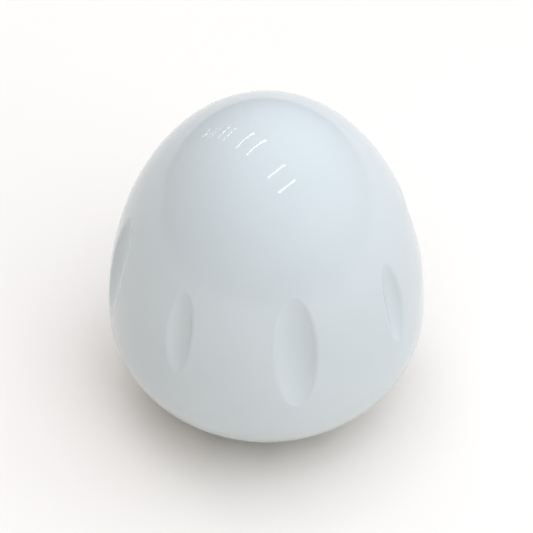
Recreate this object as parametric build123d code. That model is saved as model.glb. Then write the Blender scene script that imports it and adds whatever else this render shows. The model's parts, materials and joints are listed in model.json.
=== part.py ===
from build123d import *
import os
from math import asin, atan2, cos, degrees, hypot, pi, radians, sin, sqrt, tan

# Wind-up egg kitchen timer, in millimetres. +Z is up and the origin is the centre of the foot.
# The dome is the knob: it turns about +Z on the movement's main arbor, over a base that stands
# still. Zero is the run-down position.

# Egg-shaped case
EGG_RADIUS = 31.0            # half the width at the widest level
WIDEST_Z = 22.0
DOME_RISE = 48.8             # from the widest level to the crown
LOWER_DEPTH = 21.7           # semi-axis of the curve below the widest level
SHELL_WALL = 2.2
LIP_Z = 9.2                  # lower edge of the dome
LIP_ROUND = 0.5
SEAM_GAP = 0.6

# Grip hollows, alternately large and small round the dome
GRIP_PAIRS = 4
GRIP_START_ANGLE = -79.0     # first large hollow, from the front (-Y) towards +X
LARGE_GRIP_RISE = 16.2       # its middle, above the widest level
LARGE_GRIP_HALF_LENGTH = 12.4
LARGE_GRIP_HALF_WIDTH = 4.2
LARGE_GRIP_DEPTH = 1.7
SMALL_GRIP_RISE = 17.1
SMALL_GRIP_HALF_LENGTH = 9.3
SMALL_GRIP_HALF_WIDTH = 2.8
SMALL_GRIP_DEPTH = 1.2
GRIP_EDGE_ROUND = 0.9

# Base bowl
BASE_Z = 0.8                 # underside, held off the table by the foot ring
BASE_WALL = 2.0
FOOT_RADIUS = 15.8
FOOT_ROUND = 1.0
BOWL_BULGE = 0.9             # how far the bowl's side bows out of a straight cone
COLLAR_GAP = 0.4             # running gap between the collar and the dome's lip
COLLAR_WALL = 1.6
COLLAR_OVERLAP = 2.6         # how far the collar rises inside the lip
FOOT_RING_OUTER = 14.6
FOOT_RING_WIDTH = 3.0
FOOT_RING_HEIGHT = 1.4

# Movement frame
PLATE_THICKNESS = 1.0
BOTTOM_PLATE_Z = 12.4
PLATE_SPACE = 14.0           # clear height between the plates
PLATE_RADIUS = 16.6
EAR_ANGLES = (85.0, 205.0, 325.0)
EAR_PITCH_RADIUS = 18.3
EAR_RADIUS = 2.2
POST_RADIUS = 1.9
PILLAR_ANGLES = (145.0, 262.0, 325.0)
PILLAR_PITCH_RADIUS = 14.6
PILLAR_RADIUS = 1.4
PILLAR_NECK_RADIUS = 0.9
SCREW_RADIUS = 0.8
SCREW_HEAD_RADIUS = 1.6
SCREW_HEAD_HEIGHT = 1.0
SCREW_LENGTH = 6.0
SLOT_WIDTH = 0.4
SLOT_DEPTH = 0.4

# Going train: every pinion has the same number of leaves
PINION_LEAVES = 8
GREAT_TEETH = 72
SECOND_TEETH = 64
THIRD_TEETH = 56
GREAT_MODULE = 0.25
TRAIN_MODULE = 0.20
PRESSURE_ANGLE = 28.0
ADDENDUM = 0.8               # in modules
DEDENDUM = 1.05              # in modules
BACKLASH = 0.06
WHEEL_THICKNESS = 0.8
PINION_MARGIN = 0.5          # how far a pinion's leaves stand past its wheel on each side
WHEEL_HUB_RADIUS = 1.7
WHEEL_RIM = 1.0
WHEEL_ARM_WIDTH = 0.9
WHEEL_ARMS = 4
ARBOR_RADIUS = 0.5
PIVOT_RADIUS = 0.32
PIVOT_CLEARANCE = 0.03
END_SHAKE = 0.15
GREAT_WHEEL_THICKNESS = 1.0
GREAT_WHEEL_DROP = 5.4       # from the top plate's underside down to a wheel's top face
THIRD_WHEEL_DROP = 3.7
SECOND_WHEEL_DROP = 2.0
SECOND_BEARING = 90.0        # bearings of each arbor seen from the arbor that drives it
THIRD_BEARING = -18.0
ESCAPE_BEARING = -41.0

# Escapement
ESCAPE_TEETH = 15
ESCAPE_RADIUS = 3.6
ESCAPE_TOOTH_HEIGHT = 1.0
ESCAPE_LEVEL = 3.4           # the wheel's underside above the bottom plate's top face
PALLET_DISTANCE = 5.0
PALLET_BEARING = -85.0
PALLET_SPAN_TEETH = 3.5
PALLET_PIN_RADIUS = 0.22
PALLET_PIN_CLEARANCE = 0.1
INERTIA_BAR_LENGTH = 4.0
ESCAPE_TIP_WIDTH = 0.1
ESCAPE_ROOT_WIDTH = 0.5
ROCKER_THICKNESS = 0.6       # the pallet lever and the hammer's anchor are both rockers
ROCKER_LIFT = 0.4            # gap between a rocker and its wheel
ROCKER_ARM_WIDTH = 0.8
ROCKER_HUB_RADIUS = 1.1

# Striking
STRIKE_BEARING = 200.0
STRIKE_TEETH = 12
STRIKE_RADIUS = 4.4
STRIKE_TOOTH_HEIGHT = 1.1
STRIKE_DROP = 2.8            # from the top plate's underside down to the wheel's underside
STRIKE_TIP_WIDTH = 0.2
STRIKE_ROOT_WIDTH = 0.9
HAMMER_DISTANCE = 5.87
HAMMER_BEARING = -63.0
HAMMER_SPAN_TEETH = 2.5
HAMMER_BEAK_RADIUS = 0.3
HAMMER_BEAK_CLEARANCE = 0.12
HAMMER_ARM_WIDTH = 1.2
HAMMER_ARM_THICKNESS = 0.8
HAMMER_HEAD_RADIUS = 1.3
HAMMER_HEAD_HEIGHT = 2.6
HAMMER_HEAD_LEAD = 36.0      # bearing from the hammer's arbor on to its head, seen from the axis
HAMMER_GAP = 0.35            # from the hammer head to the bell at rest

# Bell
BELL_RADIUS = 16.0
BELL_THICKNESS = 0.8
BELL_CORNER = 4.0
BELL_BOTTOM_Z = 4.6
BELL_RIM_GAP = 0.8           # from the rim to the bottom plate
BELL_STUD_RADIUS = 3.0
BELL_STUD_RIVET_WALL = 0.3   # round the arbor's bore, where the stud passes through the plate

# Main arbor and what rides on it
MAIN_RADIUS = 1.7
SPRING_BARREL_RADIUS = 2.0
MAIN_PIVOT_RADIUS = 1.4
MAIN_CLEARANCE = 0.04
ARBOR_TOP_Z = 43.0
ARBOR_STAND = 0.5            # how far the arbor stands above the spider
D_LENGTH = 9.0
D_FLAT = 1.1                 # from the axis to the flat
CLUTCH_RADIUS = 3.9
CLUTCH_THICKNESS = 0.35
CLUTCH_RISE = 1.0
CLUTCH_GAP = 0.06
CLIP_RADIUS = 3.0
CLIP_THICKNESS = 0.5
CLIP_GROOVE_RADIUS = 1.3
CLIP_MOUTH = 2.1
BUSH_RADIUS = 2.6
BUSH_FLANGE_RADIUS = 3.4
BUSH_FLANGE_HEIGHT = 0.6
CAM_RADIUS = 6.0
CAM_THICKNESS = 1.0
CAM_LIFT = 1.0               # from the top plate to the cam
CAM_NOTCH_DEPTH = 1.5
CAM_NOTCH_ANGLE = 60.0
SPRING_LEVEL = 0.8
SPRING_ROOM = 0.8            # between the mainspring and the great wheel
SPRING_STRIP = 0.3
SPRING_INNER_RADIUS = 2.3
SPRING_OUTER_RADIUS = 7.8
SPRING_TURNS = 6
SPRING_POINTS_PER_TURN = 12
SPRING_POST_RADIUS = 0.8
SPRING_POST_BEARING = 300.0

# Stop lever on top of the movement
LEVER_PIVOT_X = -11.5
LEVER_PIVOT_Y = 2.0
LEVER_HUB_RADIUS = 2.0
LEVER_ARM_WIDTH = 1.4
LEVER_THICKNESS = 0.8
LEVER_NOSE_RADIUS = 0.5
LEVER_NOSE_GAP = 0.1
LEVER_TAIL_LENGTH = 3.0
LEVER_STUD_RADIUS = 0.9
LEVER_STUD_HEAD_RADIUS = 1.8
LEVER_SPRING_THICKNESS = 0.25
LEVER_SPRING_SHARE = 0.6     # where the spring presses, along the lever's arm
LEVER_SPRING_BACK = 1.0
LEVER_SPRING_REACH = 3.0

# Drive from the arbor to the dome
SPIDER_THICKNESS = 2.0
SPIDER_ARM_WIDTH = 5.0
SPIDER_HUB_RADIUS = 4.4
SPIDER_HUB_HEIGHT = 7.5
SPIDER_POST_PITCH_RADIUS = 12.0
SPIDER_POST_RADIUS = 2.4
SPIDER_SCREW_RADIUS = 0.9
SPIDER_SCREW_HEAD_RADIUS = 1.9
SPIDER_SCREW_LENGTH = 9.0
SPIDER_POSTS = 3
SPIDER_START_ANGLE = 30.0

# Levels that follow from the sizes above
PLATE_TOP_FACE = BOTTOM_PLATE_Z + PLATE_THICKNESS
TOP_PLATE_Z = PLATE_TOP_FACE + PLATE_SPACE
MOVEMENT_TOP = TOP_PLATE_Z + PLATE_THICKNESS
CAM_Z = MOVEMENT_TOP + CAM_LIFT
GREAT_WHEEL_LEVEL = PLATE_SPACE - GREAT_WHEEL_DROP
THIRD_WHEEL_LEVEL = PLATE_SPACE - THIRD_WHEEL_DROP
SECOND_WHEEL_LEVEL = PLATE_SPACE - SECOND_WHEEL_DROP
STRIKE_LEVEL = PLATE_SPACE - STRIKE_DROP
SPRING_HEIGHT = GREAT_WHEEL_LEVEL - GREAT_WHEEL_THICKNESS - SPRING_ROOM - SPRING_LEVEL
SPIDER_TOP = ARBOR_TOP_Z - ARBOR_STAND
COLLAR_TOP = LIP_Z + COLLAR_OVERLAP
GREAT_Z = PLATE_TOP_FACE + GREAT_WHEEL_LEVEL - GREAT_WHEEL_THICKNESS
CLUTCH_Z = GREAT_Z + GREAT_WHEEL_THICKNESS + CLUTCH_GAP
CLIP_Z = CLUTCH_Z + CLUTCH_RISE


def polar(radius, bearing, start=(0.0, 0.0)):
    """The point at a radius and bearing from a start point."""
    return (start[0] + radius * cos(radians(bearing)), start[1] + radius * sin(radians(bearing)))


def bearing_of(point, start=(0.0, 0.0)):
    """The bearing of a point seen from a start point."""
    return degrees(atan2(point[1] - start[1], point[0] - start[0]))


def pitch_radius(teeth, module):
    """Pitch radius of a wheel or pinion."""
    return teeth * module / 2


def centre_distance(teeth, module):
    """Distance between a wheel's arbor and its pinion's arbor."""
    return pitch_radius(teeth + PINION_LEAVES, module)


# Arbor positions in plan
MAIN = (0.0, 0.0)
SECOND = polar(centre_distance(GREAT_TEETH, GREAT_MODULE), SECOND_BEARING)
THIRD = polar(centre_distance(SECOND_TEETH, TRAIN_MODULE), THIRD_BEARING, SECOND)
ESCAPE = polar(centre_distance(THIRD_TEETH, TRAIN_MODULE), ESCAPE_BEARING, THIRD)
PALLET = polar(PALLET_DISTANCE, PALLET_BEARING, ESCAPE)
STRIKE = polar(centre_distance(GREAT_TEETH, GREAT_MODULE), STRIKE_BEARING)
HAMMER = polar(HAMMER_DISTANCE, HAMMER_BEARING, STRIKE)
LEVER_PIVOT = (LEVER_PIVOT_X, LEVER_PIVOT_Y)
SPRING_POST = polar(SPRING_OUTER_RADIUS + SPRING_POST_RADIUS, SPRING_POST_BEARING)
PIVOT_POINTS = (SECOND, THIRD, ESCAPE, PALLET, STRIKE, HAMMER)

# What rocker_points needs for the pallet and for the hammer
PALLET_SIZES = (ESCAPE, PALLET_BEARING, ESCAPE_RADIUS, ESCAPE_TEETH,
                PALLET_SPAN_TEETH, PALLET_PIN_RADIUS + PALLET_PIN_CLEARANCE)
HAMMER_SIZES = (STRIKE, HAMMER_BEARING, STRIKE_RADIUS, STRIKE_TEETH,
                HAMMER_SPAN_TEETH, HAMMER_BEAK_RADIUS + HAMMER_BEAK_CLEARANCE)


def rod(radius, low, high, at=MAIN):
    """Upright cylinder between two heights."""
    cylinder = Cylinder(radius, high - low, align=(Align.CENTER, Align.CENTER, Align.MIN))
    return Pos(at[0], at[1], low) * cylinder


def tube(outer, inner, low, high, at=MAIN):
    """Upright ring between two heights."""
    return rod(outer, low, high, at) - rod(inner, low, high, at)


def slab(sketch, low, thickness):
    """A flat plate from a sketch."""
    return Pos(0, 0, low) * extrude(sketch, thickness)


def disc(radius, at=MAIN):
    """A round sketch at a point."""
    return Pos(at[0], at[1]) * Circle(radius)


def bar(start, end, width):
    """A round-ended strip from one point to another."""
    run = hypot(end[0] - start[0], end[1] - start[1])
    strip = Pos(run / 2, 0) * Rectangle(run, width) + Circle(width / 2) + Pos(run, 0) * Circle(width / 2)
    return Pos(start[0], start[1]) * Rot(0, 0, bearing_of(end, start)) * strip


def save(node, *solids):
    """Write one node, as a group where it holds several solids."""
    shape = solids[0] if len(solids) == 1 else Compound(children=list(solids))
    export_step(shape, f"parts/{node}.step")


# ---------------------------------------------------------------- case

def egg_half_width(z, inset=0.0):
    """Half-width of the egg at a height, for the outside or an inset surface."""
    depth = (DOME_RISE if z > WIDEST_Z else LOWER_DEPTH) - inset
    return (EGG_RADIUS - inset) * sqrt(1 - ((z - WIDEST_Z) / depth) ** 2)


def egg_solid(inset, floor):
    """Solid of revolution of the egg above a floor, inset from the outside."""
    radius = EGG_RADIUS - inset
    crown = WIDEST_Z + DOME_RISE - inset
    keel = WIDEST_Z - LOWER_DEPTH + inset
    quarter = (1, sqrt(0.5), 1)
    lower = Bezier((0, keel), (radius, keel), (radius, WIDEST_Z), weights=quarter)
    upper = Bezier((radius, WIDEST_Z), (radius, crown), (0, crown), weights=quarter)
    egg = revolve(Plane.XZ * make_face(Wire([lower, upper, Line((0, crown), (0, keel))])), Axis.Z)
    return egg & rod(2 * EGG_RADIUS, floor, crown)


def grip_tool(rise, half_length, half_width, depth, bearing, inset=0.0):
    """Cutter for one grip hollow: a ring lying along the meridian, sunk by the hollow's depth."""
    share = rise / DOME_RISE
    radius = egg_half_width(WIDEST_Z + rise)
    slope_r = sqrt(1 - share ** 2) / EGG_RADIUS
    slope_z = share / DOME_RISE
    size = hypot(slope_r, slope_z)
    normal_r = slope_r / size
    normal_z = slope_z / size
    blend = EGG_RADIUS ** 2 * share ** 2 + DOME_RISE ** 2 * (1 - share ** 2)
    along = blend ** 1.5 / (EGG_RADIUS * DOME_RISE)
    across = radius / normal_r
    long_radius = half_length ** 2 / 2 / (depth - half_length ** 2 / 2 / along)
    short_radius = half_width ** 2 / 2 / (depth - half_width ** 2 / 2 / across)
    ring = Rot(90, 0, 0) * Torus(long_radius - short_radius, short_radius + inset)
    sink = long_radius - depth
    centre = Pos(radius + normal_r * sink, 0, WIDEST_Z + rise + normal_z * sink)
    return Rot(0, 0, bearing) * centre * ring


def grip_tools(inset=0.0):
    """All the cutters, large and small in turn."""
    large = (LARGE_GRIP_RISE, LARGE_GRIP_HALF_LENGTH, LARGE_GRIP_HALF_WIDTH, LARGE_GRIP_DEPTH)
    small = (SMALL_GRIP_RISE, SMALL_GRIP_HALF_LENGTH, SMALL_GRIP_HALF_WIDTH, SMALL_GRIP_DEPTH)
    step = 360 / (2 * GRIP_PAIRS)
    tools = []
    for index in range(GRIP_PAIRS):
        bearing = GRIP_START_ANGLE - 90 + 2 * index * step
        tools.append(grip_tool(*large, bearing, inset))
        tools.append(grip_tool(*small, bearing + step, inset))
    return tools


def spider_bearings():
    """Bearings of the dome's posts and the spider's arms."""
    return [SPIDER_START_ANGLE + index * 360 / SPIDER_POSTS for index in range(SPIDER_POSTS)]


def make_dome_shell():
    """The one-piece egg shell and knob, with grip hollows and three inner screw posts."""
    shell = egg_solid(0, LIP_Z)
    shell = fillet(shell.faces().sort_by(Axis.Z)[0].edges(), LIP_ROUND)
    for tool in grip_tools():
        shell = shell - tool
    above_lip = [edge for edge in shell.edges() if edge.bounding_box().min.Z > LIP_Z + LIP_ROUND]
    rims = [edge for edge in above_lip if edge.geom_type == GeomType.BSPLINE]
    shell = fillet(rims, GRIP_EDGE_ROUND)
    cavity = egg_solid(SHELL_WALL, LIP_Z)
    for tool in grip_tools(SHELL_WALL):
        cavity = cavity - tool
    shell = shell - cavity
    room = egg_solid(SHELL_WALL / 2, LIP_Z)
    crown = WIDEST_Z + DOME_RISE
    for bearing in spider_bearings():
        at = polar(SPIDER_POST_PITCH_RADIUS, bearing)
        shell = shell + (rod(SPIDER_POST_RADIUS, SPIDER_TOP, crown, at) & room)
        shell = shell - rod(SPIDER_SCREW_RADIUS, SPIDER_TOP, SPIDER_TOP + SPIDER_SCREW_LENGTH, at)
    return shell


def collar_outer():
    """Outer radius of the base's collar, inside the dome's lip."""
    return egg_half_width(LIP_Z, SHELL_WALL) - COLLAR_GAP


def bowl_profile(inset):
    """Side of the bowl from rim to foot, as an arc inset from the outside."""
    top_z = LIP_Z - SEAM_GAP
    top = (egg_half_width(top_z), top_z)
    foot = (FOOT_RADIUS, BASE_Z)
    run = hypot(top[0] - foot[0], top[1] - foot[1])
    out_r = (top[1] - foot[1]) / run
    out_z = -(top[0] - foot[0]) / run
    middle = ((top[0] + foot[0]) / 2 + BOWL_BULGE * out_r, (top[1] + foot[1]) / 2 + BOWL_BULGE * out_z)
    points = [(r - inset * out_r, z - inset * out_z) for r, z in (foot, middle, top)]
    return ThreePointArc(*points)


def make_base_bowl():
    """The lower shell: bowl, collar, posts for the movement and the foot ring's groove."""
    rim_z = LIP_Z - SEAM_GAP
    side = bowl_profile(0)
    inner_lines = [Line(side @ 1, (0, rim_z)), Line((0, rim_z), (0, BASE_Z)), Line((0, BASE_Z), side @ 0)]
    outside = Wire([side, *inner_lines])
    bowl = revolve(Plane.XZ * make_face(outside), Axis.Z)
    foot = bowl.edges().filter_by(GeomType.CIRCLE).sort_by(Axis.Z)[0]
    bowl = fillet(foot, FOOT_ROUND)
    bowl = bowl + rod(collar_outer(), rim_z, COLLAR_TOP)
    inside = bowl + rod(collar_outer(), COLLAR_TOP, BOTTOM_PLATE_Z)
    floor_z = BASE_Z + BASE_WALL
    hollow = bowl_room() & rod(collar_outer() - COLLAR_WALL, floor_z, COLLAR_TOP)
    bowl = bowl - hollow
    for bearing in EAR_ANGLES:
        at = polar(EAR_PITCH_RADIUS, bearing)
        bowl = bowl + (rod(POST_RADIUS, floor_z, BOTTOM_PLATE_Z, at) & inside)
        bowl = bowl - rod(SCREW_RADIUS, BOTTOM_PLATE_Z - SCREW_LENGTH, BOTTOM_PLATE_Z, at)
    groove_inner = FOOT_RING_OUTER - FOOT_RING_WIDTH
    return bowl - tube(FOOT_RING_OUTER, groove_inner, BASE_Z, FOOT_RING_HEIGHT)


def bowl_room():
    """Everything inside the bowl's inner side, extended upwards past the collar."""
    inner = bowl_profile(BASE_WALL)
    top = inner @ 1
    bottom = inner @ 0
    edge = [
        inner,
        Line(top, (top.X, COLLAR_TOP)),
        Line((top.X, COLLAR_TOP), (0, COLLAR_TOP)),
        Line((0, COLLAR_TOP), (0, bottom.Y)),
        Line((0, bottom.Y), bottom),
    ]
    return revolve(Plane.XZ * make_face(Wire(edge)), Axis.Z)


def make_foot_ring():
    """Rubber ring pressed into the groove of the base."""
    ring = tube(FOOT_RING_OUTER, FOOT_RING_OUTER - FOOT_RING_WIDTH, 0, FOOT_RING_HEIGHT)
    ground = ring.edges().filter_by(GeomType.CIRCLE).group_by(Axis.Z)[0]
    return fillet(ground, (FOOT_RING_HEIGHT - BASE_Z) / 2)


# ---------------------------------------------------------------- fasteners

def slotted_screw(at, seat_z, length, radius, head_radius, head_height, down=True):
    """Cheese-head screw whose head sits on seat_z, pointing down or up."""
    way = -1 if down else 1
    head_far = seat_z - way * head_height
    shank = rod(radius, min(seat_z, seat_z + way * length), max(seat_z, seat_z + way * length), at)
    head = rod(head_radius, min(seat_z, head_far), max(seat_z, head_far), at)
    slot = Pos(at[0], at[1], head_far) * Box(3 * head_radius, SLOT_WIDTH, 2 * SLOT_DEPTH)
    return shank + head - slot


def make_movement_screws():
    """Screws through the bottom plate's ears into the base posts."""
    seats = [polar(EAR_PITCH_RADIUS, bearing) for bearing in EAR_ANGLES]
    length = SCREW_LENGTH + PLATE_THICKNESS
    sizes = (PLATE_TOP_FACE, length, SCREW_RADIUS, SCREW_HEAD_RADIUS, SCREW_HEAD_HEIGHT)
    return [slotted_screw(at, *sizes) for at in seats]


def make_plate_screws():
    """Screws through the top plate into the pillars."""
    seats = [polar(PILLAR_PITCH_RADIUS, bearing) for bearing in PILLAR_ANGLES]
    length = SCREW_LENGTH + PLATE_THICKNESS
    sizes = (MOVEMENT_TOP, length, SCREW_RADIUS, SCREW_HEAD_RADIUS, SCREW_HEAD_HEIGHT)
    return [slotted_screw(at, *sizes) for at in seats]


def make_spider_screws():
    """Screws through the spider's arms up into the dome's posts."""
    seat = SPIDER_TOP - SPIDER_THICKNESS
    seats = [polar(SPIDER_POST_PITCH_RADIUS, bearing) for bearing in spider_bearings()]
    sizes = (seat, SPIDER_SCREW_LENGTH, SPIDER_SCREW_RADIUS, SPIDER_SCREW_HEAD_RADIUS, SCREW_HEAD_HEIGHT)
    return [slotted_screw(at, *sizes, down=False) for at in seats]


# ---------------------------------------------------------------- movement frame

def drill_pivots(plate, low, high):
    """Pivot holes for the train, the pallet and the hammer."""
    for point in PIVOT_POINTS:
        plate = plate - rod(PIVOT_RADIUS + PIVOT_CLEARANCE, low, high, point)
    return plate


def make_bottom_plate():
    """Lower plate with three ears that stand on the base posts."""
    outline = Circle(PLATE_RADIUS)
    for bearing in EAR_ANGLES:
        outline = outline + bar(MAIN, polar(EAR_PITCH_RADIUS, bearing), 2 * EAR_RADIUS)
    plate = slab(outline, BOTTOM_PLATE_Z, PLATE_THICKNESS)
    plate = drill_pivots(plate, BOTTOM_PLATE_Z, PLATE_TOP_FACE)
    holes = [(polar(EAR_PITCH_RADIUS, bearing), SCREW_RADIUS) for bearing in EAR_ANGLES]
    holes += [(polar(PILLAR_PITCH_RADIUS, bearing), PILLAR_NECK_RADIUS) for bearing in PILLAR_ANGLES]
    holes += [(SPRING_POST, SPRING_POST_RADIUS / 2), (MAIN, MAIN_PIVOT_RADIUS + BELL_STUD_RIVET_WALL)]
    holes += [(HAMMER, ARBOR_RADIUS + PIVOT_CLEARANCE)]
    for at, radius in holes:
        plate = plate - rod(radius, BOTTOM_PLATE_Z, PLATE_TOP_FACE, at)
    return plate


def make_top_plate():
    """Upper plate, held on the pillars by three screws."""
    plate = slab(Circle(PLATE_RADIUS), TOP_PLATE_Z, PLATE_THICKNESS)
    plate = drill_pivots(plate, TOP_PLATE_Z, MOVEMENT_TOP)
    holes = [(polar(PILLAR_PITCH_RADIUS, bearing), SCREW_RADIUS) for bearing in PILLAR_ANGLES]
    holes += [(MAIN, BUSH_RADIUS), (LEVER_PIVOT, LEVER_STUD_RADIUS / 2)]
    for at, radius in holes:
        plate = plate - rod(radius, TOP_PLATE_Z, MOVEMENT_TOP, at)
    return plate


def make_pillars():
    """Turned pillars, their necks riveted in the bottom plate and their tops tapped."""
    pillars = []
    for bearing in PILLAR_ANGLES:
        at = polar(PILLAR_PITCH_RADIUS, bearing)
        pillar = rod(PILLAR_RADIUS, PLATE_TOP_FACE, TOP_PLATE_Z, at)
        pillar = pillar + rod(PILLAR_NECK_RADIUS, BOTTOM_PLATE_Z, PLATE_TOP_FACE, at)
        pillars.append(pillar - rod(SCREW_RADIUS, TOP_PLATE_Z - SCREW_LENGTH, TOP_PLATE_Z, at))
    return pillars


def make_top_bush():
    """Flanged bush of the main arbor in the top plate."""
    bush = rod(BUSH_RADIUS, TOP_PLATE_Z, MOVEMENT_TOP)
    bush = bush + rod(BUSH_FLANGE_RADIUS, TOP_PLATE_Z - BUSH_FLANGE_HEIGHT, TOP_PLATE_Z)
    return bush - rod(MAIN_RADIUS + MAIN_CLEARANCE, TOP_PLATE_Z - BUSH_FLANGE_HEIGHT, MOVEMENT_TOP)


# ---------------------------------------------------------------- toothed wheels

def involute(angle):
    """Involute function of an angle in radians."""
    return tan(angle) - angle


def tooth_half_angle(radius, teeth, module):
    """Half the angle that a tooth takes up at a radius, in radians."""
    pitch = pitch_radius(teeth, module)
    pressure = radians(PRESSURE_ANGLE)
    base = pitch * cos(pressure)
    at_pitch = pi / (2 * teeth) - BACKLASH / 4 / pitch
    reach = max(radius, base)
    local = sqrt(max(0.0, 1 - (base / reach) ** 2))
    return at_pitch + involute(pressure) - involute(asin(local))


def toothed_face(teeth, module, phase):
    """Outline of a wheel or pinion, with a tooth centred on the phase angle."""
    pitch = pitch_radius(teeth, module)
    root = pitch - DEDENDUM * module
    tip = pitch + ADDENDUM * module
    levels = (root, pitch * cos(radians(PRESSURE_ANGLE)), pitch, tip)
    levels = [level for level in levels if level >= root]
    points = []
    for index in range(teeth):
        centre = radians(phase) + 2 * pi * index / teeth
        rising = [(level, centre - tooth_half_angle(level, teeth, module)) for level in levels]
        falling = [(level, centre + tooth_half_angle(level, teeth, module)) for level in reversed(levels)]
        points += [(radius * cos(angle), radius * sin(angle)) for radius, angle in rising + falling]
    return make_face(Polyline(*points, close=True))


def crossed_out(face, rim_radius, hub_radius):
    """Cut the windows between a wheel's arms."""
    windows = Circle(rim_radius) - Circle(hub_radius)
    for index in range(WHEEL_ARMS):
        arm = Pos(rim_radius / 2, 0) * Rectangle(rim_radius + WHEEL_RIM, WHEEL_ARM_WIDTH)
        windows = windows - Rot(0, 0, index * 360 / WHEEL_ARMS) * arm
    return face - windows


def make_wheel(teeth, module, bore, at, low, thickness, hub_radius=WHEEL_HUB_RADIUS):
    """A crossed-out train wheel."""
    rim = pitch_radius(teeth, module) - DEDENDUM * module - WHEEL_RIM
    face = crossed_out(toothed_face(teeth, module, 0.0), rim, hub_radius) - Circle(bore)
    return Pos(at[0], at[1], low) * extrude(face, thickness)


def mesh_phase(wheel_teeth, bearing):
    """Phase of a pinion that meshes at rest with a wheel whose phase is zero."""
    wheel_turns = bearing * wheel_teeth / 360
    return bearing + 180 - (0.5 - wheel_turns) * 360 / PINION_LEAVES


def pointed_wheel(teeth, tip, tooth_height, tip_width, root_width, phase):
    """A wheel with slim straight teeth, for the escapement and the strike."""
    root = tip - tooth_height
    corners = ((root, -root_width), (tip, -tip_width), (tip, tip_width), (root, root_width))
    points = []
    for index in range(teeth):
        centre = radians(phase) + 2 * pi * index / teeth
        for radius, offset in corners:
            angle = centre + offset / 2 / radius
            points.append((radius * cos(angle), radius * sin(angle)))
    return make_face(Polyline(*points, close=True)) - Circle(ARBOR_RADIUS)


def make_arbor(at, pinion=None):
    """A train arbor between the plates, with its pinion if it has one: (low, high, module, phase)."""
    low = PLATE_TOP_FACE + END_SHAKE
    high = TOP_PLATE_Z - END_SHAKE
    arbor = rod(ARBOR_RADIUS, low, high, at) + rod(PIVOT_RADIUS, BOTTOM_PLATE_Z, MOVEMENT_TOP, at)
    if pinion:
        start, end, module, phase = pinion
        leaves = extrude(toothed_face(PINION_LEAVES, module, phase), end - start)
        arbor = arbor + Pos(at[0], at[1], start) * leaves
    return arbor


def driven_arbor(at, teeth, module, bearing, level, thickness=WHEEL_THICKNESS):
    """An arbor whose pinion meshes with the wheel at a level."""
    top = PLATE_TOP_FACE + level
    ends = (top - thickness - PINION_MARGIN, top + PINION_MARGIN)
    return make_arbor(at, (*ends, module, mesh_phase(teeth, bearing)))


def train_wheel(teeth, at, level):
    """A train wheel pressed on its arbor at a level."""
    low = PLATE_TOP_FACE + level - WHEEL_THICKNESS
    return make_wheel(teeth, TRAIN_MODULE, ARBOR_RADIUS, at, low, WHEEL_THICKNESS)


# ---------------------------------------------------------------- escapement and strike

def rocker_points(centre, bearing, wheel_radius, teeth, span, standoff):
    """The two points at which a rocker's pins stand clear of its wheel at rest."""
    spread = span * 360 / teeth / 2
    return [polar(wheel_radius + standoff, bearing + side * spread, centre) for side in (1, -1)]


def wheel_phase(bearing, teeth, span):
    """Phase that puts both pins of a rocker a quarter pitch away from a tooth."""
    pitch = 360 / teeth
    return bearing + span * pitch / 2 - pitch / 4


def make_escape_wheel():
    """Pin-pallet escape wheel."""
    phase = wheel_phase(PALLET_BEARING, ESCAPE_TEETH, PALLET_SPAN_TEETH)
    sizes = (ESCAPE_TEETH, ESCAPE_RADIUS, ESCAPE_TOOTH_HEIGHT, ESCAPE_TIP_WIDTH, ESCAPE_ROOT_WIDTH)
    face = pointed_wheel(*sizes, phase)
    return Pos(*ESCAPE, PLATE_TOP_FACE + ESCAPE_LEVEL) * extrude(face, WHEEL_THICKNESS)


def make_strike_wheel():
    """Star wheel that rocks the hammer."""
    phase = wheel_phase(HAMMER_BEARING, STRIKE_TEETH, HAMMER_SPAN_TEETH)
    sizes = (STRIKE_TEETH, STRIKE_RADIUS, STRIKE_TOOTH_HEIGHT, STRIKE_TIP_WIDTH, STRIKE_ROOT_WIDTH)
    face = pointed_wheel(*sizes, phase)
    return Pos(*STRIKE, PLATE_TOP_FACE + STRIKE_LEVEL) * extrude(face, WHEEL_THICKNESS)


def pallet_level():
    """Underside of the pallet lever."""
    return PLATE_TOP_FACE + ESCAPE_LEVEL + WHEEL_THICKNESS + ROCKER_LIFT


def make_pallet_lever():
    """Pallet lever with its inertia bar."""
    outline = disc(ROCKER_HUB_RADIUS, PALLET)
    for point in rocker_points(*PALLET_SIZES):
        outline = outline + bar(PALLET, point, ROCKER_ARM_WIDTH)
    tail = polar(INERTIA_BAR_LENGTH, PALLET_BEARING, PALLET)
    outline = outline + bar(PALLET, tail, ROCKER_ARM_WIDTH)
    outline = outline - disc(ARBOR_RADIUS, PALLET)
    for point in rocker_points(*PALLET_SIZES):
        outline = outline - disc(PALLET_PIN_RADIUS, point)
    return slab(outline, pallet_level(), ROCKER_THICKNESS)


def make_pallet_pins():
    """Hard steel pins set in the pallet lever."""
    low = PLATE_TOP_FACE + ESCAPE_LEVEL - ROCKER_LIFT
    high = pallet_level() + ROCKER_THICKNESS
    return [rod(PALLET_PIN_RADIUS, low, high, at) for at in rocker_points(*PALLET_SIZES)]


def make_hammer_arbor():
    """Arbor that carries the strike's motion down through the bottom plate to the hammer."""
    high = TOP_PLATE_Z - END_SHAKE
    arbor = rod(ARBOR_RADIUS, hammer_low(), high, HAMMER)
    return arbor + rod(PIVOT_RADIUS, high, MOVEMENT_TOP, HAMMER)


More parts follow.
